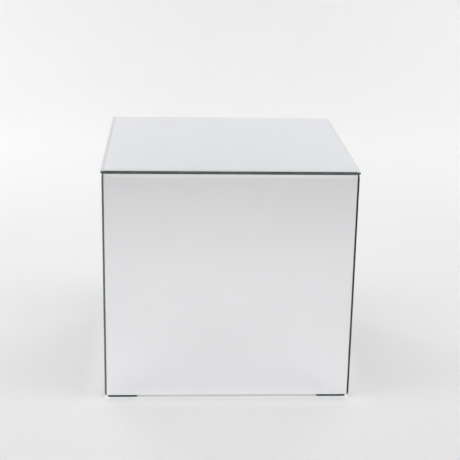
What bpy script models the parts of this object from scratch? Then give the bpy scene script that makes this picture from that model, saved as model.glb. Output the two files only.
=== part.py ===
"""A mirrored display cube: bevelled glass mirrors bonded to a timber carcass on four low feet.

Run it with blender --background --python part.py, or from the text editor. Units are metres,
+Z is up and the front faces -Y. The origin is on the floor, under the middle of the cube.
"""

import math

import bmesh
import bpy

# Driving dimensions
CUBE_WIDTH = 0.500  # the square top mirror, which is the widest piece
CUBE_HEIGHT = 0.478
FOOT_HEIGHT = 0.007  # from the floor to the lower edges of the upright mirrors
GAP = 0.0003  # between pieces that touch

TOP_GLASS = 0.006
SIDE_GLASS = 0.004
TOP_OVERHANG = 0.001  # past the faces of the upright mirrors
TOP_JOINT = 0.0008  # the open joint between the top mirror and the upright ones
BEVEL_WIDTH = 0.007
BEVEL_DEPTH = 0.00065
ARRIS = 0.0005  # the ground edge between a mirror's sides and its back
TOP_CORNER_RADIUS = 0.0025
SIDE_CORNER_RADIUS = 0.001

BEAD_THICKNESS = 0.0016
BEAD_WIDTH = 0.014
BEAD_SPACING = 0.170
BEAD_END_CLEARANCE = 0.045  # from the end of a bead to the edge of its board
BEADS_PER_MIRROR = 3

TOP_BOARD = 0.015
BASE_BOARD = 0.015
SIDE_BOARD = 0.012
POST_SIZE = 0.030
BATTEN_SIZE = 0.020
SAWN_EDGE = 0.0005  # the broken edge of a board
PLANED_EDGE = 0.0015  # the rounded edge of a post or batten

FOOT_SIZE = 0.060
FOOT_RADIUS = 0.002
SOLE_THICKNESS = 0.0015
SOLE_INSET = 0.001
FOOT_SCREW_OFFSET = 0.018  # from the middle of a foot, along X and along Y

ARC_STEPS = 4  # in a quarter of a round corner
BEAD_END_STEPS = 10  # in the half circle that ends a bead
SCREW_SIDES = 16

# Sizes that follow from them
HALF_WIDTH = CUBE_WIDTH / 2
UPRIGHT_FACE = HALF_WIDTH - TOP_OVERHANG
UPRIGHT_BACK = UPRIGHT_FACE - SIDE_GLASS
BEAD_SPACE = BEAD_THICKNESS + 2 * GAP
CARCASS_HALF = UPRIGHT_BACK - BEAD_SPACE
TOP_GLASS_LOW = CUBE_HEIGHT - TOP_GLASS
UPRIGHT_HEIGHT = TOP_GLASS_LOW - TOP_JOINT - FOOT_HEIGHT
UPRIGHT_MIDDLE = FOOT_HEIGHT + UPRIGHT_HEIGHT / 2
PLATE_LOW = SOLE_THICKNESS + GAP
PLATE_THICKNESS = FOOT_HEIGHT - PLATE_LOW
BASE_LOW = FOOT_HEIGHT + GAP
BASE_HIGH = BASE_LOW + BASE_BOARD
TOP_BOARD_HIGH = TOP_GLASS_LOW - BEAD_SPACE
TOP_BOARD_LOW = TOP_BOARD_HIGH - TOP_BOARD
WALL_LOW = BASE_HIGH + GAP
WALL_HIGH = TOP_BOARD_LOW - GAP
INSIDE_HALF = CARCASS_HALF - SIDE_BOARD - GAP
FOOT_CENTRE = CARCASS_HALF - FOOT_SIZE / 2
POST_CENTRE = INSIDE_HALF - POST_SIZE / 2
BATTEN_LENGTH = 2 * (INSIDE_HALF - POST_SIZE - GAP)
BATTEN_CENTRE = INSIDE_HALF - BATTEN_SIZE / 2

# A turn about Z takes a piece of the front to each other side
SIDES = {"front": 0.0, "right": math.pi / 2, "back": math.pi, "left": -math.pi / 2}
CORNERS = {
    "front_left": (-1, -1),
    "front_right": (1, -1),
    "back_left": (-1, 1),
    "back_right": (1, 1),
}
# Head radius, shank radius, length and head height
FOOT_SCREW = (0.0035, 0.0016, 0.0150, 0.0020)
BASE_SCREW = (0.0040, 0.0019, 0.0420, 0.0026)
SCREW_RECESS_RADIUS = 0.0014
SCREW_RECESS_DEPTH = 0.0012
SCREW_POINT = 0.0030
HEAD_CLEARANCE = 0.0015  # how far a cutter runs past a screw's head


def clear_scene():
    for obj in list(bpy.data.objects):
        bpy.data.objects.remove(obj, do_unlink=True)


def material(name, colour, roughness, metallic=0.0):
    made = bpy.data.materials.new(name)
    made.use_nodes = True
    shader = made.node_tree.nodes["Principled BSDF"]
    shader.inputs["Base Color"].default_value = (*colour, 1.0)
    shader.inputs["Roughness"].default_value = roughness
    shader.inputs["Metallic"].default_value = metallic
    return made


def silvered_glass(name):
    return material(name, (0.86, 0.89, 0.89), 0.03, 1.0)


def silicone(name):
    return material(name, (0.55, 0.56, 0.55), 0.5)


def fibreboard(name):
    return material(name, (0.45, 0.32, 0.20), 0.85)


def pine(name):
    return material(name, (0.66, 0.48, 0.28), 0.7)


def black_plastic(name):
    return material(name, (0.015, 0.015, 0.016), 0.5)


def black_felt(name):
    return material(name, (0.03, 0.03, 0.03), 0.95)


def zinc(name):
    return material(name, (0.62, 0.62, 0.60), 0.35, 1.0)


def place(name, mesh_builder, finish, location, rotation=(0.0, 0.0, 0.0)):
    """An object of this name, with the mesh that mesh_builder holds and a material of its own."""
    bmesh.ops.recalc_face_normals(mesh_builder, faces=mesh_builder.faces)
    mesh = bpy.data.meshes.new(name)
    mesh_builder.to_mesh(mesh)
    mesh_builder.free()
    obj = bpy.data.objects.new(name, mesh)
    obj.location = location
    obj.rotation_euler = rotation
    obj.data.materials.append(finish(name))
    bpy.context.scene.collection.objects.link(obj)
    return obj


def rounded_outline(width, depth, radius):
    """The points of a rectangle centred on the origin, its corners rounded, anticlockwise."""
    points = []
    for quarter, (sign_x, sign_y) in enumerate(((1, 1), (-1, 1), (-1, -1), (1, -1))):
        centre_x = sign_x * (width / 2 - radius)
        centre_y = sign_y * (depth / 2 - radius)
        for step in range(ARC_STEPS + 1):
            angle = (quarter + step / ARC_STEPS) * math.pi / 2
            points.append((centre_x + radius * math.cos(angle), centre_y + radius * math.sin(angle)))
    return points


def stacked_outlines(levels):
    """A closed solid through outlines of equal length, given as (points, height) from the bottom up."""
    builder = bmesh.new()
    rings = [[builder.verts.new((x, y, height)) for x, y in points] for points, height in levels]
    for lower, upper in zip(rings, rings[1:]):
        for index in range(len(lower)):
            following = (index + 1) % len(lower)
            builder.faces.new((lower[index], lower[following], upper[following], upper[index]))
    builder.faces.new(reversed(rings[0]))
    builder.faces.new(rings[-1])
    return builder


def mirror_panel(width, height, thickness, radius):
    """A glass panel lying on its back: its edges ground at the back, and bevelled on the face, +Z."""
    inside = 2 * ARRIS
    face = 2 * BEVEL_WIDTH
    return stacked_outlines(
        [
            (rounded_outline(width - inside, height - inside, radius - ARRIS / 2), 0.0),
            (rounded_outline(width, height, radius), ARRIS),
            (rounded_outline(width, height, radius), thickness - BEVEL_DEPTH),
            (rounded_outline(width - face, height - face, radius / 4), thickness),
        ]
    )


def slab(width, depth, thickness, radius):
    outline = rounded_outline(width, depth, radius)
    return stacked_outlines([(outline, 0.0), (outline, thickness)])


def bead_of_adhesive(length):
    """A flattened ribbon along Y with round ends, lying on Z = 0."""
    middle = length / 2 - BEAD_WIDTH / 2

    def outline(half_width):
        points = []
        for end in (1, -1):
            for step in range(BEAD_END_STEPS + 1):
                angle = (0.0 if end > 0 else math.pi) + math.pi * step / BEAD_END_STEPS
                x = half_width * math.cos(angle)
                points.append((x, end * middle + half_width * math.sin(angle)))
        return points

    full = BEAD_WIDTH / 2
    squeezed = full - BEAD_THICKNESS / 3
    return stacked_outlines(
        [
            (outline(squeezed), 0.0),
            (outline(full), BEAD_THICKNESS / 2),
            (outline(squeezed), BEAD_THICKNESS),
        ]
    )


def timber(size_x, size_y, size_z, edge):
    """A block centred on the origin, with its edges broken."""
    builder = bmesh.new()
    bmesh.ops.create_cube(builder, size=1.0)
    bmesh.ops.scale(builder, vec=(size_x, size_y, size_z), verts=builder.verts)
    bmesh.ops.bevel(
        builder, geom=list(builder.edges), offset=edge, segments=1, affect="EDGES", profile=0.5
    )
    return builder


def turned(profile):
    """A solid of revolution about Z. The profile's (radius, height) points run up, axis to axis."""
    builder = bmesh.new()
    rings = []
    for radius, height in profile:
        if radius == 0.0:
            rings.append([builder.verts.new((0.0, 0.0, height))] * SCREW_SIDES)
            continue
        angles = [2 * math.pi * side / SCREW_SIDES for side in range(SCREW_SIDES)]
        ring = [(radius * math.cos(angle), radius * math.sin(angle), height) for angle in angles]
        rings.append([builder.verts.new(point) for point in ring])
    for lower, upper in zip(rings, rings[1:]):
        for side in range(SCREW_SIDES):
            following = (side + 1) % SCREW_SIDES
            corners = (lower[side], lower[following], upper[following], upper[side])
            builder.faces.new(list(dict.fromkeys(corners)))
    return builder


def screw(size):
    """A countersunk screw that points up, with its head's face on Z = 0."""
    head_radius, shank_radius, length, head_height = size
    return turned(
        [
            (0.0, SCREW_RECESS_DEPTH),
            (SCREW_RECESS_RADIUS, 0.0),
            (head_radius, 0.0),
            (head_radius, head_height / 8),
            (shank_radius, head_height),
            (shank_radius, length - SCREW_POINT),
            (0.0, length),
        ]
    )


def screw_hole(size):
    """What a screw's hole takes out of the wood: the screw, a gap all round it, and a way in."""
    head_radius, shank_radius, length, head_height = size
    return turned(
        [
            (0.0, -HEAD_CLEARANCE),
            (head_radius + GAP, -HEAD_CLEARANCE),
            (head_radius + GAP, head_height / 8 + GAP),
            (shank_radius + GAP, head_height + GAP),
            (shank_radius + GAP, length - SCREW_POINT + GAP),
            (0.0, length + 2 * GAP),
        ]
    )


def cut(obj, cutters):
    for cutter in cutters:
        hole = obj.modifiers.new(cutter.name, "BOOLEAN")
        hole.operation = "DIFFERENCE"
        hole.solver = "EXACT"
        hole.object = cutter


def shade_round(obj):
    obj.data.shade_smooth()
    obj.data.set_sharp_from_angle(angle=math.radians(30))


def on_side(angle, across, outward, height):
    """A point of one side, from where it would be on the front."""
    x = across * math.cos(angle) + outward * math.sin(angle)
    y = across * math.sin(angle) - outward * math.cos(angle)
    return (x, y, height)


def make_mirrors():
    place(
        "top_mirror",
        mirror_panel(CUBE_WIDTH, CUBE_WIDTH, TOP_GLASS, TOP_CORNER_RADIUS),
        silvered_glass,
        (0.0, 0.0, TOP_GLASS_LOW),
    )
    for side, angle in SIDES.items():
        # The left and right mirrors run the whole depth, and the other two stand between them
        half = UPRIGHT_FACE if side in ("left", "right") else UPRIGHT_BACK - GAP
        place(
            f"{side}_mirror",
            mirror_panel(2 * half, UPRIGHT_HEIGHT, SIDE_GLASS, SIDE_CORNER_RADIUS),
            silvered_glass,
            on_side(angle, 0.0, UPRIGHT_BACK, UPRIGHT_MIDDLE),
            (math.pi / 2, 0.0, angle),
        )


def make_beads():
    top_length = 2 * (CARCASS_HALF - BEAD_END_CLEARANCE)
    upright_length = TOP_BOARD_HIGH - BASE_LOW - 2 * BEAD_END_CLEARANCE
    upright_middle = (TOP_BOARD_HIGH + BASE_LOW) / 2
    for index in range(BEADS_PER_MIRROR):
        across = (index - (BEADS_PER_MIRROR - 1) / 2) * BEAD_SPACING
        place(
            f"top_bead_{index + 1}",
            bead_of_adhesive(top_length),
            silicone,
            (across, 0.0, TOP_BOARD_HIGH + GAP),
        )
        for side, angle in SIDES.items():
            place(
                f"{side}_bead_{index + 1}",
                bead_of_adhesive(upright_length),
                silicone,
                on_side(angle, across, CARCASS_HALF + GAP, upright_middle),
                (math.pi / 2, 0.0, angle),
            )


def make_boards():
    width = 2 * CARCASS_HALF
    place(
        "top_board",
        timber(width, width, TOP_BOARD, SAWN_EDGE),
        fibreboard,
        (0.0, 0.0, (TOP_BOARD_LOW + TOP_BOARD_HIGH) / 2),
    )
    base_board = place(
        "base_board",
        timber(width, width, BASE_BOARD, SAWN_EDGE),
        fibreboard,
        (0.0, 0.0, (BASE_LOW + BASE_HIGH) / 2),
    )
    for side, angle in SIDES.items():
        # The left and right boards run the whole depth, like the mirrors on them
        length = width if side in ("left", "right") else width - 2 * (SIDE_BOARD + GAP)
        place(
            f"{side}_board",
            timber(length, SIDE_BOARD, WALL_HIGH - WALL_LOW, SAWN_EDGE),
            fibreboard,
            on_side(angle, 0.0, CARCASS_HALF - SIDE_BOARD / 2, (WALL_LOW + WALL_HIGH) / 2),
            (0.0, 0.0, angle),
        )
    return base_board


def make_battens():
    heights = {
        "lower": WALL_LOW + BATTEN_SIZE / 2,
        "upper": WALL_HIGH - BATTEN_SIZE / 2,
    }
    for level, height in heights.items():
        for side, angle in SIDES.items():
            place(
                f"{level}_batten_{side}",
                timber(BATTEN_LENGTH, BATTEN_SIZE, BATTEN_SIZE, PLANED_EDGE),
                pine,
                on_side(angle, 0.0, BATTEN_CENTRE, height),
                (0.0, 0.0, angle),
            )


def make_screw(name, size, location):
    """A screw, and the cutter that makes its hole."""
    shade_round(place(name, screw(size), zinc, location))
    cutter = place(f"{name}_hole", screw_hole(size), zinc, location)
    cutter.hide_render = True
    cutter.display_type = "WIRE"
    return cutter


def make_corner(corner, sign_x, sign_y, base_board):
    """The post, foot and screws of one corner."""
    post_x = sign_x * POST_CENTRE
    post_y = sign_y * POST_CENTRE
    foot_x = sign_x * FOOT_CENTRE
    foot_y = sign_y * FOOT_CENTRE
    post = place(
        f"corner_post_{corner}",
        timber(POST_SIZE, POST_SIZE, WALL_HIGH - WALL_LOW, PLANED_EDGE),
        pine,
        (post_x, post_y, (WALL_LOW + WALL_HIGH) / 2),
    )
    base_cutter = make_screw(f"base_screw_{corner}", BASE_SCREW, (post_x, post_y, BASE_LOW))
    foot_cutters = []
    for number, along in enumerate((-1, 1), start=1):
        # The two screws lie on the foot's diagonal that keeps clear of the post's screw
        x = foot_x + along * sign_x * FOOT_SCREW_OFFSET
        y = foot_y - along * sign_y * FOOT_SCREW_OFFSET
        foot_cutters.append(
            make_screw(f"foot_screw_{corner}_{number}", FOOT_SCREW, (x, y, PLATE_LOW + GAP))
        )
    plate = place(
        f"foot_plate_{corner}",
        slab(FOOT_SIZE, FOOT_SIZE, PLATE_THICKNESS, FOOT_RADIUS),
        black_plastic,
        (foot_x, foot_y, PLATE_LOW),
    )
    sole_size = FOOT_SIZE - 2 * SOLE_INSET
    place(
        f"foot_sole_{corner}",
        slab(sole_size, sole_size, SOLE_THICKNESS, FOOT_RADIUS),
        black_felt,
        (foot_x, foot_y, 0.0),
    )
    cut(post, [base_cutter])
    cut(plate, foot_cutters)
    cut(base_board, [base_cutter, *foot_cutters])


def main():
    clear_scene()
    make_mirrors()
    make_beads()
    base_board = make_boards()
    make_battens()
    for corner, (sign_x, sign_y) in CORNERS.items():
        make_corner(corner, sign_x, sign_y, base_board)


main()
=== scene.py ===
"""The looks of a mirrored display cube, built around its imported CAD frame. Metres, +Z up, front at -Y."""

import math
from collections import namedtuple

import bmesh
import bpy
from mathutils import Matrix, Vector, noise


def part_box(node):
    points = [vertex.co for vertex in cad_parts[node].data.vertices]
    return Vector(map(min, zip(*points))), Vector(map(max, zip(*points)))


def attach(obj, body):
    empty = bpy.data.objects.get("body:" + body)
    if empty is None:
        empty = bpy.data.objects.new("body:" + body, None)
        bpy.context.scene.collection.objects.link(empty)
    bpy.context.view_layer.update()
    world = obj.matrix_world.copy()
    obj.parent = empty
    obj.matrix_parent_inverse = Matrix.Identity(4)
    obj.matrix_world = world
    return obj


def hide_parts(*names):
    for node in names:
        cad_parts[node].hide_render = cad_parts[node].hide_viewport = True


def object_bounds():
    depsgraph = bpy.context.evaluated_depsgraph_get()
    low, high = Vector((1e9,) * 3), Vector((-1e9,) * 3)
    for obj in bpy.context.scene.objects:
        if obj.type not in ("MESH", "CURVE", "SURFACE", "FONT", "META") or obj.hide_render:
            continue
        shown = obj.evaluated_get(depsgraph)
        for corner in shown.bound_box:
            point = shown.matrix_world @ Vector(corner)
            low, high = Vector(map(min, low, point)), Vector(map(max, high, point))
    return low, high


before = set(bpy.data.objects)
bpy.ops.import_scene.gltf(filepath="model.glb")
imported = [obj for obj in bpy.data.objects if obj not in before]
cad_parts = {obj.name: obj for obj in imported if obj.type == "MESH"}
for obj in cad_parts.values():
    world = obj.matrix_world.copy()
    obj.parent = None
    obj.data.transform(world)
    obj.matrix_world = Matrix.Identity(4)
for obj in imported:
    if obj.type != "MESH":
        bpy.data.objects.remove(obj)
cad_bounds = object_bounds()

MM = 0.001
# Each side, and how far it is turned about +Z from the front
SIDES = {"front": 0.0, "right": math.pi / 2, "back": math.pi, "left": -math.pi / 2}
CORNERS = ("front_left", "front_right", "back_left", "back_right")
HALF_WIDTH = cad_bounds[1][0]
SHARP_ANGLE = math.radians(30)  # a corner sharper than this isn't shaded smooth
WHITE = (1.0, 1.0, 1.0)

# Mirrors
BEVEL_WIDTH = 7 * MM
BEVEL_DEPTH = 0.65 * MM
FRONT_ARRIS = 0.25 * MM
BACK_ARRIS = 0.3 * MM
TOP_CORNER_RADIUS = 2.5 * MM
SIDE_CORNER_RADIUS = 1.0 * MM
CORNER_STEPS = 10
DUBBED_LENGTH = 9 * MM  # how far from a corner the grinding that blunts it begins
DUBBED_DEPTH = 0.9 * MM
DUBBED_STEPS = 4

# The darkest and the palest green of each mirror's ground edge. They differ from side to side as painted
# light and shade: the left one is painted paler and the right one darker.
EDGE_COLOURS = {
    "top": ((0.060, 0.085, 0.080), (0.110, 0.145, 0.135)),
    "front": ((0.022, 0.036, 0.034), (0.050, 0.075, 0.070)),
    "right": ((0.010, 0.018, 0.016), (0.026, 0.042, 0.038)),
    "back": ((0.022, 0.036, 0.034), (0.050, 0.075, 0.070)),
    "left": ((0.105, 0.140, 0.127), (0.175, 0.212, 0.198)),
}

# Foot plates
PLATE_FILLET = 0.6 * MM
FILLET_LEVELS = 5
PLATE_CORNER_RADIUS = 2.0 * MM
HOLE_CLEARANCE = 0.3 * MM

# Foot soles
SOLE_EDGE_STEPS = 60  # points along one side
SOLE_CORNER_PULL = 0.018  # how far a corner is pulled in, as a share of its distance from the middle
SOLE_CORNER_POWER = 24  # the higher it is, the nearer to the corner the pull begins
SOLE_FUZZ = 0.22 * MM  # the depth of the edge's raggedness
SOLE_RAGS = (900.0, 1400.0)  # raggedness along the edge and up it, in periods per metre
SOLE_SEED_STEP = 10.0
# The cut edge from the bottom up: the share of the height, and how far in it lies there
SOLE_PROFILE = (
    (0.0, 0.35 * MM),
    (0.15, 0.12 * MM),
    (0.4, 0.0),
    (0.65, 0.04 * MM),
    (0.9, 0.15 * MM),
    (1.0, 0.4 * MM),
)

# Screws. threaded is the share of the length that has a thread.
Screw = namedtuple("Screw", "shank_radius head_height pitch threaded")
FOOT_SCREW = Screw(1.6 * MM, 2.0 * MM, 1.4 * MM, 0.85)
BASE_SCREW = Screw(1.9 * MM, 2.6 * MM, 1.8 * MM, 0.66)
SCREW_SIDES = 24
RINGS_PER_TURN = 10
THREAD_ROOT = 0.72  # of the shank's radius
THREAD_FLANK = 0.30  # of the pitch, to each side of the crest
POINT_LENGTH = 3.0 * MM
POINT_POWER = 0.8  # under 1, so the point is blunter than a cone
HEAD_FACE = 0.97  # of the head's radius, inside its blunted rim
HEAD_RIM = 1 / 8  # of the head's height
RECESS_DEPTH = 1.1 * MM
RECESS_ARM = 0.47  # of the head's radius
RECESS_HALF_WIDTH = 0.14  # of the head's radius
# The recess from just outside the head's face to its floor: shares of its arm and its width, and the height
RECESS_LEVELS = ((1.05, 1.0, -RECESS_DEPTH / 4), (1.0, 0.95, 0.0), (0.55, 0.6, RECESS_DEPTH))

# Adhesive
BEAD_RINGS = 90
BEAD_SIDES = 12
BEAD_WOBBLE = 0.16  # of the width
BEAD_WAVES = 32  # wobbles per metre
BEAD_EDGE_SHIFT = 3.0  # sets the wobbles of the two edges apart
BEAD_EDGE_POWER = 0.7  # these two square off the bead's cross section: 1 would leave it oval
BEAD_FACE_POWER = 0.45
BEAD_SEED = 47.0  # the first bead's
BEAD_SEED_STEP = 7.0

# Camera
CAMERA_PLACE = (-0.1139, -2.3677, 1.0289)
CAMERA_TURN = math.radians(3.06)  # to the right of +Y
CAMERA_TILT = math.radians(17.51)  # below the horizon
CAMERA_ROLL = math.radians(1.08)
CAMERA_LENS = 89.46  # mm
CAMERA_SENSOR = 36.0  # mm

# Cove: a round floor, and a wall that curves up from it
COVE_INNER_RADIUS = 0.6  # of the floor's middle, which is one face
COVE_FLAT_RADIUS = 2.6
COVE_FILLET = 1.2
COVE_HEIGHT = 4.0
COVE_SIDES = 128
COVE_FILLET_STEPS = 16
FLOOR_GAP = 0.05 * MM  # under the soles, so that the two surfaces don't coincide

# The floor glows evenly as a light table does, and with painted light more strongly near and under the
# object, which fills in its shadow, so that the object casts no hard shadow
COVE_GLOW = 0.084
NEAR_GLOW = 0.165  # at the object's outline
NEAR_REACH = 60 * MM  # how far from the outline that glow fades into the cove's
CORNER_SHARE = 0.7  # of the near glow is left beside a corner, which shades the floor less
CORNER_REACH = 110 * MM  # how far from a corner that weakening begins
UNDER_GLOW = 0.455  # under the object
UNDER_COLOUR = (0.88, 0.925, 1.0)  # a cool tint in the painted light under the object, to make up for the brown of the board above it
RIM_GLOW = 0.65  # just inside its outline
RIM_INNER = (10 * MM, 7 * MM)  # how far inside the outline the rim's glow begins, and is full
RIM_OUTER = (3.5 * MM, -0.5 * MM)  # how far inside it the rim's glow fades, and ends
ROOM_GLOW = 0.15  # the room above the cove, which the mirrors show from above

# Each softbox: its place, the point it faces, its width and depth, and its power in watts
SOFTBOXES = {
    "overhead": ((0.0, -0.6, 2.6), (0.0, -0.6, 0.0), (5.6, 1.2), 38.4),
    "overhead_low": ((0.0, -0.25, 1.9), (0.0, -0.25, 0.0), (1.6, 1.2), 4.35),
    "front": ((0.0, -0.9, 1.6), (0.0, -0.7, 0.0), (1.2, 0.6), 0.95),
    "back_left": ((-1.4, 1.9, 2.0), (-1.4, 1.9, 0.0), (1.2, 1.2), 13.9),
    "back_right": ((1.4, 1.9, 2.0), (1.4, 1.9, 0.0), (1.2, 1.2), 10.8),
    "wall_left": ((-1.2, 1.8, 2.6), (-1.6, 3.6, 0.3), (1.2, 0.6), 12.9),
    "wall_right": ((1.2, 1.8, 2.6), (1.6, 3.6, 0.3), (1.2, 0.6), 10.7),
    "wall_front": ((0.2, -2.9, 1.1), (0.2, -3.75, 0.25), (1.6, 0.4), 2.45),
}

# A Mix node's two colours and its result, which share their names with its sockets for numbers
MIX_FIRST, MIX_SECOND, MIX_RESULT = 6, 7, 2


# ---------------------------------------------------------------- materials


class Surface:
    """A material on one Principled node. Numbers and colours go on its sockets, and nodes feed them."""

    def __init__(self, name, **sockets):
        self.material = bpy.data.materials.new(name)
        self.material.use_nodes = True
        self.tree = self.material.node_tree
        self.shader = self.tree.nodes["Principled BSDF"]
        for socket, value in sockets.items():
            self.shader.inputs[socket.replace("_", " ")].default_value = value

    def node(self, kind, settings=None, **inputs):
        """A node of this kind. An input is a value or another node's output."""
        made = self.tree.nodes.new(kind)
        for key, value in (settings or {}).items():
            setattr(made, key, value)
        for key, value in inputs.items():
            self.feed(made.inputs[key.replace("_", " ")], value)
        return made

    def feed(self, socket, value):
        if isinstance(value, bpy.types.NodeSocket):
            self.tree.links.new(value, socket)
        else:
            socket.default_value = value

    def place(self, scale=(1.0, 1.0, 1.0)):
        """Coordinates on the object, in metres times scale."""
        source = self.node("ShaderNodeTexCoord").outputs["Object"]
        return self.node("ShaderNodeMapping", Vector=source, Scale=scale).outputs["Vector"]

    def noise(self, scale, stretch=(1.0, 1.0, 1.0), detail=4.0, roughness=0.5, distortion=0.0):
        return self.node(
            "ShaderNodeTexNoise",
            Vector=self.place(stretch),
            Scale=scale,
            Detail=detail,
            Roughness=roughness,
            Distortion=distortion,
        ).outputs["Fac"]

    def spread(self, value, low, high, into_low, into_high):
        """value from low..high taken smoothly to into_low..into_high, and held there."""
        return self.node(
            "ShaderNodeMapRange",
            {"interpolation_type": "SMOOTHSTEP"},
            Value=value,
            From_Min=low,
            From_Max=high,
            To_Min=into_low,
            To_Max=into_high,
        ).outputs["Result"]

    def maths(self, operation, *values):
        """A Math node's result. Each value is a number or another node's output."""
        made = self.node("ShaderNodeMath", {"operation": operation})
        for socket, value in zip(made.inputs, values):
            self.feed(socket, value)
        return made.outputs["Value"]

    def colours(self, value, *stops):
        """A colour ramp over value, from (place, colour) stops."""
        ramp = self.node("ShaderNodeValToRGB", Fac=value)
        elements = ramp.color_ramp.elements
        while len(elements) < len(stops):
            elements.new(0.5)
        for element, (place, colour) in zip(elements, stops):
            element.position = place
            element.color = (*colour, 1.0)
        return ramp.outputs["Color"]

    def mixed(self, blend, factor, first, second):
        """Two colours blended, as MIX or MULTIPLY."""
        made = self.node("ShaderNodeMix", {"data_type": "RGBA", "blend_type": blend}, Factor=factor)
        self.feed(made.inputs[MIX_FIRST], first)
        self.feed(made.inputs[MIX_SECOND], second)
        return made.outputs[MIX_RESULT]

    def colour(self, value):
        self.feed(self.shader.inputs["Base Color"], value)

    def roughness(self, value):
        self.feed(self.shader.inputs["Roughness"], value)

    def glow(self, colour, strength):
        self.feed(self.shader.inputs["Emission Color"], colour)
        self.feed(self.shader.inputs["Emission Strength"], strength)

    def bump(self, *heights):
        """Heights as (value, distance in metres, strength), the broadest first."""
        normal = None
        for value, distance, strength in heights:
            made = self.node("ShaderNodeBump", Height=value, Distance=distance, Strength=strength)
            if normal is not None:
                self.feed(made.inputs["Normal"], normal)
            normal = made.outputs["Normal"]
        self.feed(self.shader.inputs["Normal"], normal)


def mirror_surface(name, dark, light, haze, waviness):
    """Silvered float glass: a little uneven in tint and haze, and not quite flat."""
    made = Surface(name, Metallic=1.0)
    made.colour(made.colours(made.noise(9.0, detail=3.0), (0.35, dark), (0.65, light)))
    smears = made.noise(6.0, (1.0, 2.6, 1.0), detail=6.0, roughness=0.6, distortion=0.8)
    made.roughness(made.spread(smears, 0.45, 0.75, haze / 2, haze))
    made.bump((made.noise(3.0, detail=0.0), 0.001, waviness))
    return made.material


def mirror_face():
    dark, light = (0.971, 0.970, 0.988), (0.979, 0.978, 0.996)
    return mirror_surface("mirror_face", dark, light, haze=0.02, waviness=0.004)


def mirror_face_top():
    dark, light = (0.920, 0.932, 0.978), (0.928, 0.940, 0.986)
    return mirror_surface("mirror_face_top", dark, light, haze=0.02, waviness=0.004)


def mirror_bevel():
    dark, light = (0.955, 0.970, 0.966), (0.965, 0.980, 0.976)
    return mirror_surface("mirror_bevel", dark, light, haze=0.035, waviness=0.006)


def mirror_bevel_side():
    """The top's bevels that run front to back, with painted shade: their reflection is painted greyer, and
    more so on the left.
    """
    made = Surface("mirror_bevel_side", Metallic=1.0, Roughness=0.035)
    across = made.node("ShaderNodeSeparateXYZ", Vector=made.place()).outputs["X"]
    share = made.spread(across, -HALF_WIDTH, HALF_WIDTH, 0.0, 1.0)
    made.colour(made.colours(share, (0.0, (0.78, 0.785, 0.80)), (1.0, (0.875, 0.88, 0.895))))
    return made.material


def glass_edge(name, dark, light):
    """The ground and polished side of the glass: green, with fine lines along it."""
    made = Surface(name, IOR=1.52)
    lines = made.noise(1.0, (25.0, 25.0, 4200.0), detail=3.0)
    patches = made.spread(made.noise(14.0, detail=3.0), 0.3, 0.7, 0.0, 0.4)
    shade = made.maths("MULTIPLY_ADD", lines, 0.6, patches)
    made.colour(made.colours(shade, (0.2, dark), (0.8, light)))
    made.roughness(made.spread(lines, 0.3, 0.7, 0.16, 0.30))
    made.bump((lines, 0.00002, 0.5))
    return made.material


def ground_arris():
    """The narrow corner that is only ground, so it is frosted and paler."""
    made = Surface("ground_arris", IOR=1.52)
    grains = made.noise(2600.0, detail=2.0)
    made.colour(made.colours(grains, (0.3, (0.10, 0.135, 0.13)), (0.7, (0.19, 0.235, 0.225))))
    made.roughness(made.spread(grains, 0.3, 0.7, 0.45, 0.65))
    made.bump((grains, 0.00003, 0.6))
    return made.material


def backing_paint():
    """The grey paint that protects the silver on a mirror's back."""
    made = Surface("backing_paint")
    patches = made.noise(18.0, detail=5.0)
    peel = made.noise(420.0, detail=2.0)
    made.colour(made.colours(patches, (0.3, (0.13, 0.15, 0.16)), (0.7, (0.17, 0.19, 0.20))))
    made.roughness(made.spread(patches, 0.3, 0.7, 0.38, 0.52))
    made.bump((peel, 0.0001, 0.3))
    return made.material


def fibreboard():
    """Medium density fibreboard: fine felted fibres with darker specks."""
    made = Surface("fibreboard")
    fibres = made.noise(900.0, detail=8.0, roughness=0.7)
    clouds = made.colours(made.noise(12.0, detail=4.0), (0.3, (0.78, 0.76, 0.74)), (0.7, WHITE))
    specks = made.spread(made.noise(1700.0, detail=1.0), 0.66, 0.72, 0.0, 0.7)
    base = made.colours(fibres, (0.25, (0.22, 0.135, 0.072)), (0.75, (0.42, 0.285, 0.165)))
    clouded = made.mixed("MULTIPLY", 0.6, base, clouds)
    made.colour(made.mixed("MIX", specks, clouded, (0.10, 0.055, 0.03, 1.0)))
    made.roughness(made.spread(fibres, 0.2, 0.8, 0.72, 0.92))
    made.bump((fibres, 0.0002, 0.4))
    return made.material


def pine(name, along):
    """Planed pine with its grain along one axis: 0, 1 or 2."""
    made = Surface(name)
    ring_stretch = [1.0, 1.0, 1.0]
    ring_stretch[along] = 0.06
    pore_stretch = [1.0, 1.0, 1.0]
    pore_stretch[along] = 0.03
    rings = made.node(
        "ShaderNodeTexWave",
        {"wave_type": "RINGS", "rings_direction": "XYZ"[along], "wave_profile": "SAW"},
        Vector=made.place(ring_stretch),
        Scale=42.0,
        Distortion=5.0,
        Detail=3.0,
        Detail_Scale=1.6,
    ).outputs["Fac"]
    pores = made.noise(1100.0, pore_stretch)
    early, late, dark = (0.70, 0.50, 0.27), (0.60, 0.38, 0.17), (0.36, 0.19, 0.07)
    made.colour(made.colours(rings, (0.0, early), (0.75, late), (1.0, dark)))
    made.roughness(made.spread(pores, 0.3, 0.7, 0.5, 0.7))
    made.bump((rings, 0.0002, 0.3), (pores, 0.0001, 0.4))
    return made.material


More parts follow.
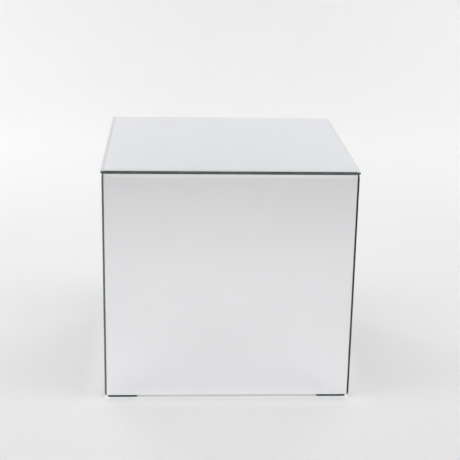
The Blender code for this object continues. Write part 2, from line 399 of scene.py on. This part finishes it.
def moulded_plastic():
    """Black plastic with a fine spark-eroded texture."""
    made = Surface("moulded_plastic", IOR=1.5, Specular_IOR_Level=0.25)
    grain = made.noise(2400.0, detail=3.0)
    scuffs = made.noise(90.0, detail=5.0, roughness=0.6)
    made.colour(made.colours(scuffs, (0.5, (0.008, 0.008, 0.009)), (0.8, (0.022, 0.022, 0.023))))
    made.roughness(made.spread(grain, 0.3, 0.7, 0.42, 0.62))
    made.bump((grain, 0.00012, 0.6))
    return made.material


def needle_felt():
    """Black felt: short fibres pressed every way, with a soft sheen."""
    made = Surface("needle_felt", Sheen_Weight=0.2, Sheen_Roughness=0.5, Sheen_Tint=(0.3, 0.3, 0.32, 1.0))
    fibres = made.noise(1100.0, detail=8.0, roughness=0.75, distortion=2.5)
    lint = made.noise(500.0, (1.0, 5.0, 1.0), detail=2.0, distortion=3.0)
    base = made.colours(fibres, (0.35, (0.006, 0.006, 0.007)), (0.65, (0.060, 0.060, 0.064)))
    made.colour(made.mixed("MIX", made.spread(lint, 0.68, 0.76, 0.0, 0.5), base, (0.16, 0.155, 0.15, 1.0)))
    made.roughness(made.spread(fibres, 0.2, 0.8, 0.85, 1.0))
    made.bump((fibres, 0.0008, 1.0))
    return made.material


def zinc_plate():
    """Bright zinc plating with a faint passivation tint."""
    made = Surface("zinc_plate", Metallic=1.0)
    patches = made.noise(500.0, detail=4.0)
    grey, yellow, blue = (0.56, 0.56, 0.57), (0.68, 0.66, 0.60), (0.60, 0.62, 0.66)
    made.colour(made.colours(patches, (0.3, grey), (0.55, yellow), (0.8, blue)))
    made.roughness(made.spread(patches, 0.3, 0.7, 0.22, 0.38))
    made.bump((made.noise(3000.0, detail=2.0), 0.00003, 0.4))
    return made.material


def cured_silicone():
    """Neutral grey mirror adhesive."""
    made = Surface("cured_silicone", IOR=1.43)
    swirls = made.noise(60.0, detail=5.0, distortion=1.0)
    made.colour(made.colours(swirls, (0.3, (0.30, 0.31, 0.305)), (0.7, (0.38, 0.39, 0.38))))
    made.roughness(made.spread(swirls, 0.3, 0.7, 0.32, 0.48))
    made.bump((swirls, 0.0003, 0.5))
    return made.material


def studio_paper():
    """Pale paper, lit softly from below as on a light table, and with painted light, more strongly under and
    near the object, that fills in the object's shadow.
    """
    made = Surface("studio_paper", Roughness=0.95, Specular_IOR_Level=0.1)
    made.colour(made.colours(made.noise(2.0), (0.3, (0.80, 0.80, 0.80)), (0.7, (0.805, 0.805, 0.805))))
    place = made.node("ShaderNodeSeparateXYZ", Vector=made.place()).outputs
    x_size = made.maths("ABSOLUTE", place["X"])
    y_size = made.maths("ABSOLUTE", place["Y"])
    # Both reach HALF_WIDTH at the outline: out along all of it, and to_corner only at its corners
    out = made.maths("MAXIMUM", x_size, y_size)
    to_corner = made.maths("MINIMUM", x_size, y_size)
    # Painted light: the near glow fills in the object's shadow on the floor around it, weaker beside its
    # corners
    near = made.spread(out, HALF_WIDTH, HALF_WIDTH + NEAR_REACH, NEAR_GLOW - COVE_GLOW, 0.0)
    cornered = made.spread(to_corner, HALF_WIDTH - CORNER_REACH, HALF_WIDTH, 1.0, CORNER_SHARE)
    around = made.maths("MULTIPLY_ADD", near, cornered, COVE_GLOW)
    inner = [HALF_WIDTH - inset for inset in RIM_INNER]
    outer = [HALF_WIDTH - inset for inset in RIM_OUTER]
    # Painted light under the object and at its rim, which lights the gap under the mirrors
    under = made.maths(
        "ADD",
        made.spread(out, *inner, UNDER_GLOW - RIM_GLOW, 0.0),
        made.spread(out, *outer, RIM_GLOW - NEAR_GLOW, 0.0),
    )
    tint = made.colours(made.spread(out, *outer, 0.0, 1.0), (0.0, UNDER_COLOUR), (1.0, WHITE))
    made.glow(tint, made.maths("ADD", under, around))
    return made.material


# ---------------------------------------------------------------- shapes


def add_piece(name, mesh, materials, matrix=None):
    for material in materials:
        mesh.materials.append(material)
    piece = bpy.data.objects.new(name, mesh)
    if matrix is not None:
        piece.matrix_world = matrix
    bpy.context.scene.collection.objects.link(piece)
    return piece


def add_riding(name, mesh, materials, node, matrix=None):
    """A piece that stands for one CAD node."""
    piece = add_piece(name, mesh, materials, matrix)
    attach(piece, "root")
    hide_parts(node)


def corners_of(node):
    """A CAD node's lowest and highest corners."""
    low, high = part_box(node)
    return Vector(low), Vector(high)


def finished(name, builder):
    """The mesh that the builder holds. The builder is freed."""
    mesh = bpy.data.meshes.new(name)
    builder.to_mesh(mesh)
    builder.free()
    return mesh


def shade(mesh):
    """Smooth shading, apart from sharp corners."""
    mesh.shade_smooth()
    mesh.set_sharp_from_angle(angle=SHARP_ANGLE)


def rounded_outline(width, depth, radius):
    """The points of a rectangle centred on the origin, its corners rounded, anticlockwise."""
    points = []
    for quarter, (sign_x, sign_y) in enumerate(((1, 1), (-1, 1), (-1, -1), (1, -1))):
        centre_x = sign_x * (width / 2 - radius)
        centre_y = sign_y * (depth / 2 - radius)
        for step in range(CORNER_STEPS + 1):
            angle = (quarter + step / CORNER_STEPS) * math.pi / 2
            points.append((centre_x + radius * math.cos(angle), centre_y + radius * math.sin(angle)))
    return points


def dubbed_outline(width, depth, radius):
    """A rounded outline with more points near its corners, and how far each is ground down, from 0 to 1."""
    points = []
    shares = []
    arcs = rounded_outline(width, depth, radius)
    per_corner = CORNER_STEPS + 1
    for corner in range(4):
        arc = [Vector(point) for point in arcs[corner * per_corner : (corner + 1) * per_corner]]
        angle = corner * math.pi / 2
        before = Vector((math.sin(angle), -math.cos(angle)))
        after = Vector((-math.cos(angle), -math.sin(angle)))
        for step in range(DUBBED_STEPS):
            along = 1 - step / DUBBED_STEPS
            points.append(arc[0] + before * DUBBED_LENGTH * along)
            shares.append((1 - along) ** 2)
        points += arc
        shares += [1.0] * per_corner
        for step in range(1, DUBBED_STEPS + 1):
            along = step / DUBBED_STEPS
            points.append(arc[-1] + after * DUBBED_LENGTH * along)
            shares.append((1 - along) ** 2)
    return points, shares


def stacked_outlines(name, levels, slots=None):
    """A closed mesh through outlines of equal length, from the bottom up.

    A level is (points, height), or (points, heights) with a height for each point. slots gives the material
    slot of the bottom, of each band and of the top, and flat ends are flat shaded."""
    builder = bmesh.new()
    rings = []
    for points, heights in levels:
        if isinstance(heights, float):
            heights = [heights] * len(points)
        rings.append([builder.verts.new((x, y, z)) for (x, y), z in zip(points, heights)])
    builder.faces.new(reversed(rings[0]))
    for lower, upper in zip(rings, rings[1:]):
        for index in range(len(lower)):
            following = (index + 1) % len(lower)
            builder.faces.new((lower[index], lower[following], upper[following], upper[index]))
    builder.faces.new(rings[-1])
    mesh = finished(name, builder)
    shade(mesh)
    mesh.polygons[0].use_smooth = False
    mesh.polygons[len(mesh.polygons) - 1].use_smooth = False
    if slots:
        count = len(levels[0][0])
        for polygon in mesh.polygons:
            band = 0 if polygon.index == 0 else 1 + (polygon.index - 1) // count
            polygon.material_index = slots[min(band, len(slots) - 1)]
    return mesh


def ringed(name, builder, rings):
    """A closed mesh through the builder's rings of points. A ring of one repeated point closes an end."""
    for lower, upper in zip(rings, rings[1:]):
        for index in range(len(lower)):
            following = (index + 1) % len(lower)
            corners = (lower[index], lower[following], upper[following], upper[index])
            builder.faces.new(list(dict.fromkeys(corners)))
    bmesh.ops.recalc_face_normals(builder, faces=builder.faces)
    return finished(name, builder)


def turned(name, profile, sides, radius_at=None):
    """A closed mesh turned about Z. The profile's (radius, height) points run up, axis to axis.

    radius_at(radius, height, angle), where it is given, says how far out each point lies instead."""
    builder = bmesh.new()
    rings = []
    for radius, height in profile:
        if radius == 0.0:
            rings.append([builder.verts.new((0.0, 0.0, height))] * sides)
            continue
        ring = []
        for side in range(sides):
            angle = 2 * math.pi * side / sides
            out = radius_at(radius, height, angle) if radius_at else radius
            ring.append(builder.verts.new((out * math.cos(angle), out * math.sin(angle), height)))
        rings.append(ring)
    return ringed(name, builder, rings)


def carve(name, mesh, cutters):
    """The mesh with the cutters' meshes taken out of it."""
    body = add_piece(f"{name}_blank", mesh, [])
    tools = []
    for number, cutter in enumerate(cutters):
        tool = add_piece(f"{name}_tool_{number}", cutter, [])
        hole = body.modifiers.new("hole", "BOOLEAN")
        hole.operation = "DIFFERENCE"
        hole.solver = "EXACT"
        hole.object = tool
        tools.append(tool)
    carved = bpy.data.meshes.new_from_object(body.evaluated_get(bpy.context.evaluated_depsgraph_get()))
    carved.name = name
    for obj in (body, *tools):
        bpy.data.objects.remove(obj)
    shade(carved)
    return carved


# ---------------------------------------------------------------- mirrors


def panel_matrix(node):
    """Where a panel that lies on its back, face up, goes to stand for this node, and the panel's size."""
    low, high = corners_of(node)
    size = high - low
    middle = (low + high) / 2
    side = node.split("_")[0]
    if side == "top":
        return Matrix.Translation((middle.x, middle.y, low.z)), (size.x, size.y, size.z)
    angle = SIDES[side]
    width, thickness = (size.y, size.x) if side in ("left", "right") else (size.x, size.y)
    outward = Vector((math.sin(angle), -math.cos(angle), 0.0))
    back = middle - outward * thickness / 2
    turn = Matrix.Rotation(angle, 4, "Z") @ Matrix.Rotation(math.pi / 2, 4, "X")
    return Matrix.Translation(back) @ turn, (width, size.z, thickness)


def make_mirror(side, materials):
    """One bevelled mirror as a closed solid: paint, ground edge, bevel and face. Its corners are blunted."""
    node = f"{side}_mirror"
    matrix, (width, height, thickness) = panel_matrix(node)
    radius = TOP_CORNER_RADIUS if side == "top" else SIDE_CORNER_RADIUS

    def level(inset, corner_radius, z, depth=0.0):
        points, shares = dubbed_outline(width - 2 * inset, height - 2 * inset, corner_radius)
        return points, [z - depth * share for share in shares]

    shoulder = thickness - BEVEL_DEPTH
    rise = FRONT_ARRIS * BEVEL_DEPTH / BEVEL_WIDTH
    levels = [
        level(BACK_ARRIS, radius - BACK_ARRIS / 2, 0.0),
        level(0.0, radius, BACK_ARRIS),
        level(0.0, radius, shoulder - FRONT_ARRIS, DUBBED_DEPTH),
        level(FRONT_ARRIS, radius - FRONT_ARRIS / 2, shoulder + rise, DUBBED_DEPTH),
        level(BEVEL_WIDTH, radius / 4, thickness),
    ]
    paint, arris, edge, bevel, face, shaded_bevel_side = range(6)
    mesh = stacked_outlines(f"{side}_mirror_glass", levels, [paint, arris, edge, arris, bevel, face])
    for polygon in mesh.polygons:
        if polygon.material_index == bevel:
            polygon.use_smooth = False
            # The top's bevels that run front to back get the copy with painted shade
            if side == "top" and abs(polygon.normal.x) > abs(polygon.normal.y):
                polygon.material_index = shaded_bevel_side
    add_riding(f"{side}_mirror_glass", mesh, materials, node, matrix)


def make_mirrors():
    paint, arris = backing_paint(), ground_arris()
    bevel, shaded_bevel_side = mirror_bevel(), mirror_bevel_side()
    upright_face, top_face = mirror_face(), mirror_face_top()
    for side, (dark, light) in EDGE_COLOURS.items():
        # Each side's edge is its own copy of the glass, painted paler or darker as painted light and shade
        edge = glass_edge(f"glass_edge_{side}", dark, light)
        face = top_face if side == "top" else upright_face
        make_mirror(side, [paint, arris, edge, bevel, face, shaded_bevel_side])


# ---------------------------------------------------------------- carcass


def dress(node, material):
    """A CAD node that keeps its shape gets a finished material."""
    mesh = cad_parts[node].data
    mesh.materials.clear()
    mesh.materials.append(material)


def dress_carcass():
    board = fibreboard()
    for side in ("top", "base", *SIDES):
        dress(f"{side}_board", board)
    upright = pine("pine_upright", 2)
    for corner in CORNERS:
        dress(f"corner_post_{corner}", upright)
    across = pine("pine_across", 0)
    inward = pine("pine_inward", 1)
    for level in ("lower", "upper"):
        for side in SIDES:
            dress(f"{level}_batten_{side}", inward if side in ("left", "right") else across)


# ---------------------------------------------------------------- screws


def plus_outline(reach, half):
    """The twelve points of a plus sign, anticlockwise."""
    points = []
    for turn in range(4):
        for x, y in ((reach, -half), (reach, half), (half, half)):
            for _ in range(turn):
                x, y = -y, x
            points.append((x, y))
    return points


def screw_size(node):
    """A screw's head radius and its length."""
    low, high = corners_of(node)
    return (high.x - low.x) / 2, high.z - low.z


def screw_matrix(node):
    """Where a screw that points up from Z = 0 goes to stand for this node."""
    low, high = corners_of(node)
    return Matrix.Translation(((low.x + high.x) / 2, (low.y + high.y) / 2, low.z))


def screw_profile(screw, head, length):
    """Half of a screw's outline without its thread, from the head's face to the point."""
    ring_height = screw.pitch / RINGS_PER_TURN
    profile = [
        (0.0, 0.0),
        (head * HEAD_FACE, 0.0),
        (head, screw.head_height * HEAD_RIM / 2),
        (head, screw.head_height * HEAD_RIM),
        (screw.shank_radius, screw.head_height),
    ]
    straight = length - POINT_LENGTH - screw.head_height
    rings = math.ceil(straight / ring_height)
    for ring in range(1, rings):
        profile.append((screw.shank_radius, screw.head_height + straight * ring / rings))
    rings = math.ceil(POINT_LENGTH / ring_height)
    for ring in range(rings):
        to_tip = 1 - ring / rings
        profile.append((screw.shank_radius * to_tip**POINT_POWER, length - POINT_LENGTH * to_tip))
    profile.append((0.0, length))
    return profile


def screw_mesh(name, node, screw):
    """A countersunk wood screw that points up, its head's face on Z = 0: threaded, with a cross recess."""
    head, length = screw_size(node)
    thread_from = length * (1 - screw.threaded)

    def radius_at(radius, height, angle):
        if height < thread_from:
            return radius if height <= screw.head_height else radius * (1 + THREAD_ROOT) / 2
        phase = (height / screw.pitch - angle / (2 * math.pi)) % 1.0
        crest = max(0.0, 1 - abs(phase - 0.5) / THREAD_FLANK)
        # The thread rises over its first turn
        crest *= min(1.0, (height - thread_from) / screw.pitch)
        return radius * (THREAD_ROOT + (1 - THREAD_ROOT) * crest)

    blank = turned(f"{name}_blank", screw_profile(screw, head, length), SCREW_SIDES, radius_at)
    levels = []
    for arm, width, height in RECESS_LEVELS:
        levels.append((plus_outline(head * RECESS_ARM * arm, head * RECESS_HALF_WIDTH * width), height))
    return carve(name, blank, [stacked_outlines(f"{name}_recess", levels)])


def make_screws():
    foot_screw = screw_mesh("foot_screw", f"foot_screw_{CORNERS[0]}_1", FOOT_SCREW)
    base_screw = screw_mesh("base_screw", f"base_screw_{CORNERS[0]}", BASE_SCREW)
    zinc = zinc_plate()
    for mesh in (foot_screw, base_screw):
        mesh.materials.append(zinc)
    for corner in CORNERS:
        for node, mesh in (
            (f"foot_screw_{corner}_1", foot_screw),
            (f"foot_screw_{corner}_2", foot_screw),
            (f"base_screw_{corner}", base_screw),
        ):
            add_riding(f"{node}_threaded", mesh, [], node, screw_matrix(node))


# ---------------------------------------------------------------- feet


def hole_cutter(name, node, screw, floor):
    """What a foot screw's hole takes out of a plate: a countersink below and a clear way through."""
    head, length = screw_size(node)
    matrix = screw_matrix(node)
    start = floor - matrix.translation.z - MM
    profile = [
        (0.0, start),
        (head + HOLE_CLEARANCE, start),
        (head + HOLE_CLEARANCE, screw.head_height * HEAD_RIM + HOLE_CLEARANCE),
        (screw.shank_radius + HOLE_CLEARANCE, screw.head_height + HOLE_CLEARANCE),
        (screw.shank_radius + HOLE_CLEARANCE, length),
        (0.0, length),
    ]
    mesh = turned(name, profile, 2 * SCREW_SIDES)
    mesh.transform(matrix)
    return mesh


def make_foot_plate(corner, plastic):
    """A moulded plate with filleted edges and two countersunk holes."""
    node = f"foot_plate_{corner}"
    low, high = corners_of(node)
    middle = (low + high) / 2
    size = high - low
    fillet = []
    for step in range(FILLET_LEVELS + 1):
        angle = step / FILLET_LEVELS * math.pi / 2
        fillet.append((PLATE_FILLET * (1 - math.sin(angle)), PLATE_FILLET * (1 - math.cos(angle))))
    side = [(inset, low.z + rise) for inset, rise in fillet]
    side += [(inset, high.z - rise) for inset, rise in reversed(fillet)]
    levels = []
    for inset, height in side:
        outline = rounded_outline(size.x - 2 * inset, size.y - 2 * inset, PLATE_CORNER_RADIUS - inset)
        levels.append(([(x + middle.x, y + middle.y) for x, y in outline], height))
    cutters = [
        hole_cutter(f"{node}_hole_{number}", f"foot_screw_{corner}_{number}", FOOT_SCREW, low.z)
        for number in (1, 2)
    ]
    mesh = carve(f"{node}_moulded", stacked_outlines(f"{node}_blank", levels), cutters)
    add_riding(f"{node}_moulded", mesh, [plastic], node)


def make_foot_sole(corner, felt, seed):
    """A square of felt, cut with a knife: its edges are fuzzy and a little uneven."""
    node = f"foot_sole_{corner}"
    low, high = corners_of(node)
    middle = (low + high) / 2
    half = (high.x - low.x) / 2
    along_rags, up_rags = SOLE_RAGS
    levels = []
    for share, inset in SOLE_PROFILE:
        height = low.z + (high.z - low.z) * share
        points = []
        for side in range(4):
            turn = Matrix.Rotation(side * math.pi / 2, 2)
            for step in range(SOLE_EDGE_STEPS):
                along = -1 + 2 * step / SOLE_EDGE_STEPS
                point = turn @ Vector((half, along * half))
                point *= 1 - SOLE_CORNER_PULL * abs(along) ** SOLE_CORNER_POWER
                where = Vector((point.x * along_rags, point.y * along_rags, height * up_rags + seed))
                pull = inset + SOLE_FUZZ * (0.5 + 0.5 * noise.noise(where))
                points.append(point * (1 - pull / half) + middle.xy)
        levels.append((points, height))
    mesh = stacked_outlines(f"{node}_cut", levels)
    add_riding(f"{node}_cut", mesh, [felt], node)


def make_feet():
    plastic = moulded_plastic()
    felt = needle_felt()
    for number, corner in enumerate(CORNERS):
        make_foot_plate(corner, plastic)
        make_foot_sole(corner, felt, SOLE_SEED_STEP * number)


# ---------------------------------------------------------------- adhesive


def signed_power(value, power):
    """value's size to a power, with value's sign."""
    return math.copysign(abs(value) ** power, value)


def make_bead(node, silicone, seed):
    """A ribbon of adhesive, squeezed flat between glass and board, with an uneven edge and round ends."""
    low, high = corners_of(node)
    middle = (low + high) / 2
    size = high - low
    thin, wide, long = sorted(range(3), key=lambda axis: size[axis])
    radius = size[wide] / 2
    builder = bmesh.new()
    rings = []
    for ring in range(BEAD_RINGS + 1):
        # The sine puts more rings near the round ends
        along = math.sin((-1 + 2 * ring / BEAD_RINGS) * math.pi / 2)
        reach = along * size[long] / 2
        from_end = size[long] / 2 - abs(reach)
        end = math.sqrt(max(0.0, 1 - max(0.0, 1 - from_end / radius) ** 2))
        if end == 0.0:
            point = Vector((0.0, 0.0, 0.0))
            point[long] = reach
            rings.append([builder.verts.new(point + middle)] * BEAD_SIDES)
            continue
        current = []
        for side in range(BEAD_SIDES):
            angle = 2 * math.pi * side / BEAD_SIDES
            edge = 1 if math.cos(angle) > 0 else -1
            wobble = noise.noise(Vector((reach * BEAD_WAVES, edge * BEAD_EDGE_SHIFT, seed))) * 0.5 + 0.5
            width = radius * end * (1 - BEAD_WOBBLE * wobble)
            point = Vector((0.0, 0.0, 0.0))
            point[long] = reach
            point[wide] = width * signed_power(math.cos(angle), BEAD_EDGE_POWER)
            point[thin] = size[thin] / 2 * signed_power(math.sin(angle), BEAD_FACE_POWER) * math.sqrt(end)
            current.append(builder.verts.new(point + middle))
        rings.append(current)
    mesh = ringed(f"{node}_squeezed", builder, rings)
    mesh.shade_smooth()
    add_riding(f"{node}_squeezed", mesh, [silicone], node)


def make_beads():
    silicone = cured_silicone()
    seed = BEAD_SEED
    for side in ("top", *SIDES):
        for number in (1, 2, 3):
            make_bead(f"{side}_bead_{number}", silicone, seed)
            seed += BEAD_SEED_STEP


# ---------------------------------------------------------------- studio and camera


def make_cove():
    """A round seamless floor and wall for the studio."""
    profile = [(COVE_INNER_RADIUS, 0.0), (COVE_FLAT_RADIUS, 0.0)]
    for step in range(1, COVE_FILLET_STEPS + 1):
        angle = step / COVE_FILLET_STEPS * math.pi / 2
        radius = COVE_FLAT_RADIUS + COVE_FILLET * math.sin(angle)
        profile.append((radius, COVE_FILLET * (1 - math.cos(angle))))
    profile.append((COVE_FLAT_RADIUS + COVE_FILLET, COVE_HEIGHT))
    angles = [2 * math.pi * side / COVE_SIDES for side in range(COVE_SIDES)]
    builder = bmesh.new()
    rings = []
    for radius, height in profile:
        points = [(radius * math.cos(angle), radius * math.sin(angle), height) for angle in angles]
        rings.append([builder.verts.new(point) for point in points])
    builder.faces.new(rings[0])
    for inner, outer in zip(rings, rings[1:]):
        for side in range(COVE_SIDES):
            following = (side + 1) % COVE_SIDES
            builder.faces.new((inner[side], outer[side], outer[following], inner[following]))
    mesh = finished("studio_cove", builder)
    mesh.shade_smooth()
    add_piece("studio_cove", mesh, [studio_paper()], Matrix.Translation((0.0, 0.0, -FLOOR_GAP)))


def add_softbox(name, place, target, size, power):
    light = bpy.data.lights.new(name, "AREA")
    light.shape = "RECTANGLE"
    light.size, light.size_y = size
    light.energy = power
    lamp = bpy.data.objects.new(name, light)
    lamp.location = place
    lamp.rotation_euler = (Vector(target) - Vector(place)).to_track_quat("-Z", "Y").to_euler()
    bpy.context.scene.collection.objects.link(lamp)


def add_studio():
    make_cove()
    world = bpy.data.worlds.new("grey_room")
    world.use_nodes = True
    background = world.node_tree.nodes["Background"].inputs
    background["Color"].default_value = (*WHITE, 1.0)
    background["Strength"].default_value = ROOM_GLOW
    bpy.context.scene.world = world
    for name, softbox in SOFTBOXES.items():
        add_softbox(name, *softbox)
    bpy.context.scene.view_settings.view_transform = "Standard"


def add_camera():
    data = bpy.data.cameras.new("camera")
    data.sensor_width = CAMERA_SENSOR
    data.lens = CAMERA_LENS
    camera = bpy.data.objects.new("camera", data)
    turn = Matrix.Rotation(-CAMERA_TURN, 4, "Z")
    tilt = Matrix.Rotation(math.pi / 2 - CAMERA_TILT, 4, "X")
    roll = Matrix.Rotation(CAMERA_ROLL, 4, "Z")
    camera.matrix_world = Matrix.Translation(CAMERA_PLACE) @ turn @ tilt @ roll
    bpy.context.scene.collection.objects.link(camera)
    bpy.context.scene.camera = camera


add_camera()
add_studio()
make_mirrors()
dress_carcass()
make_screws()
make_feet()
make_beads()
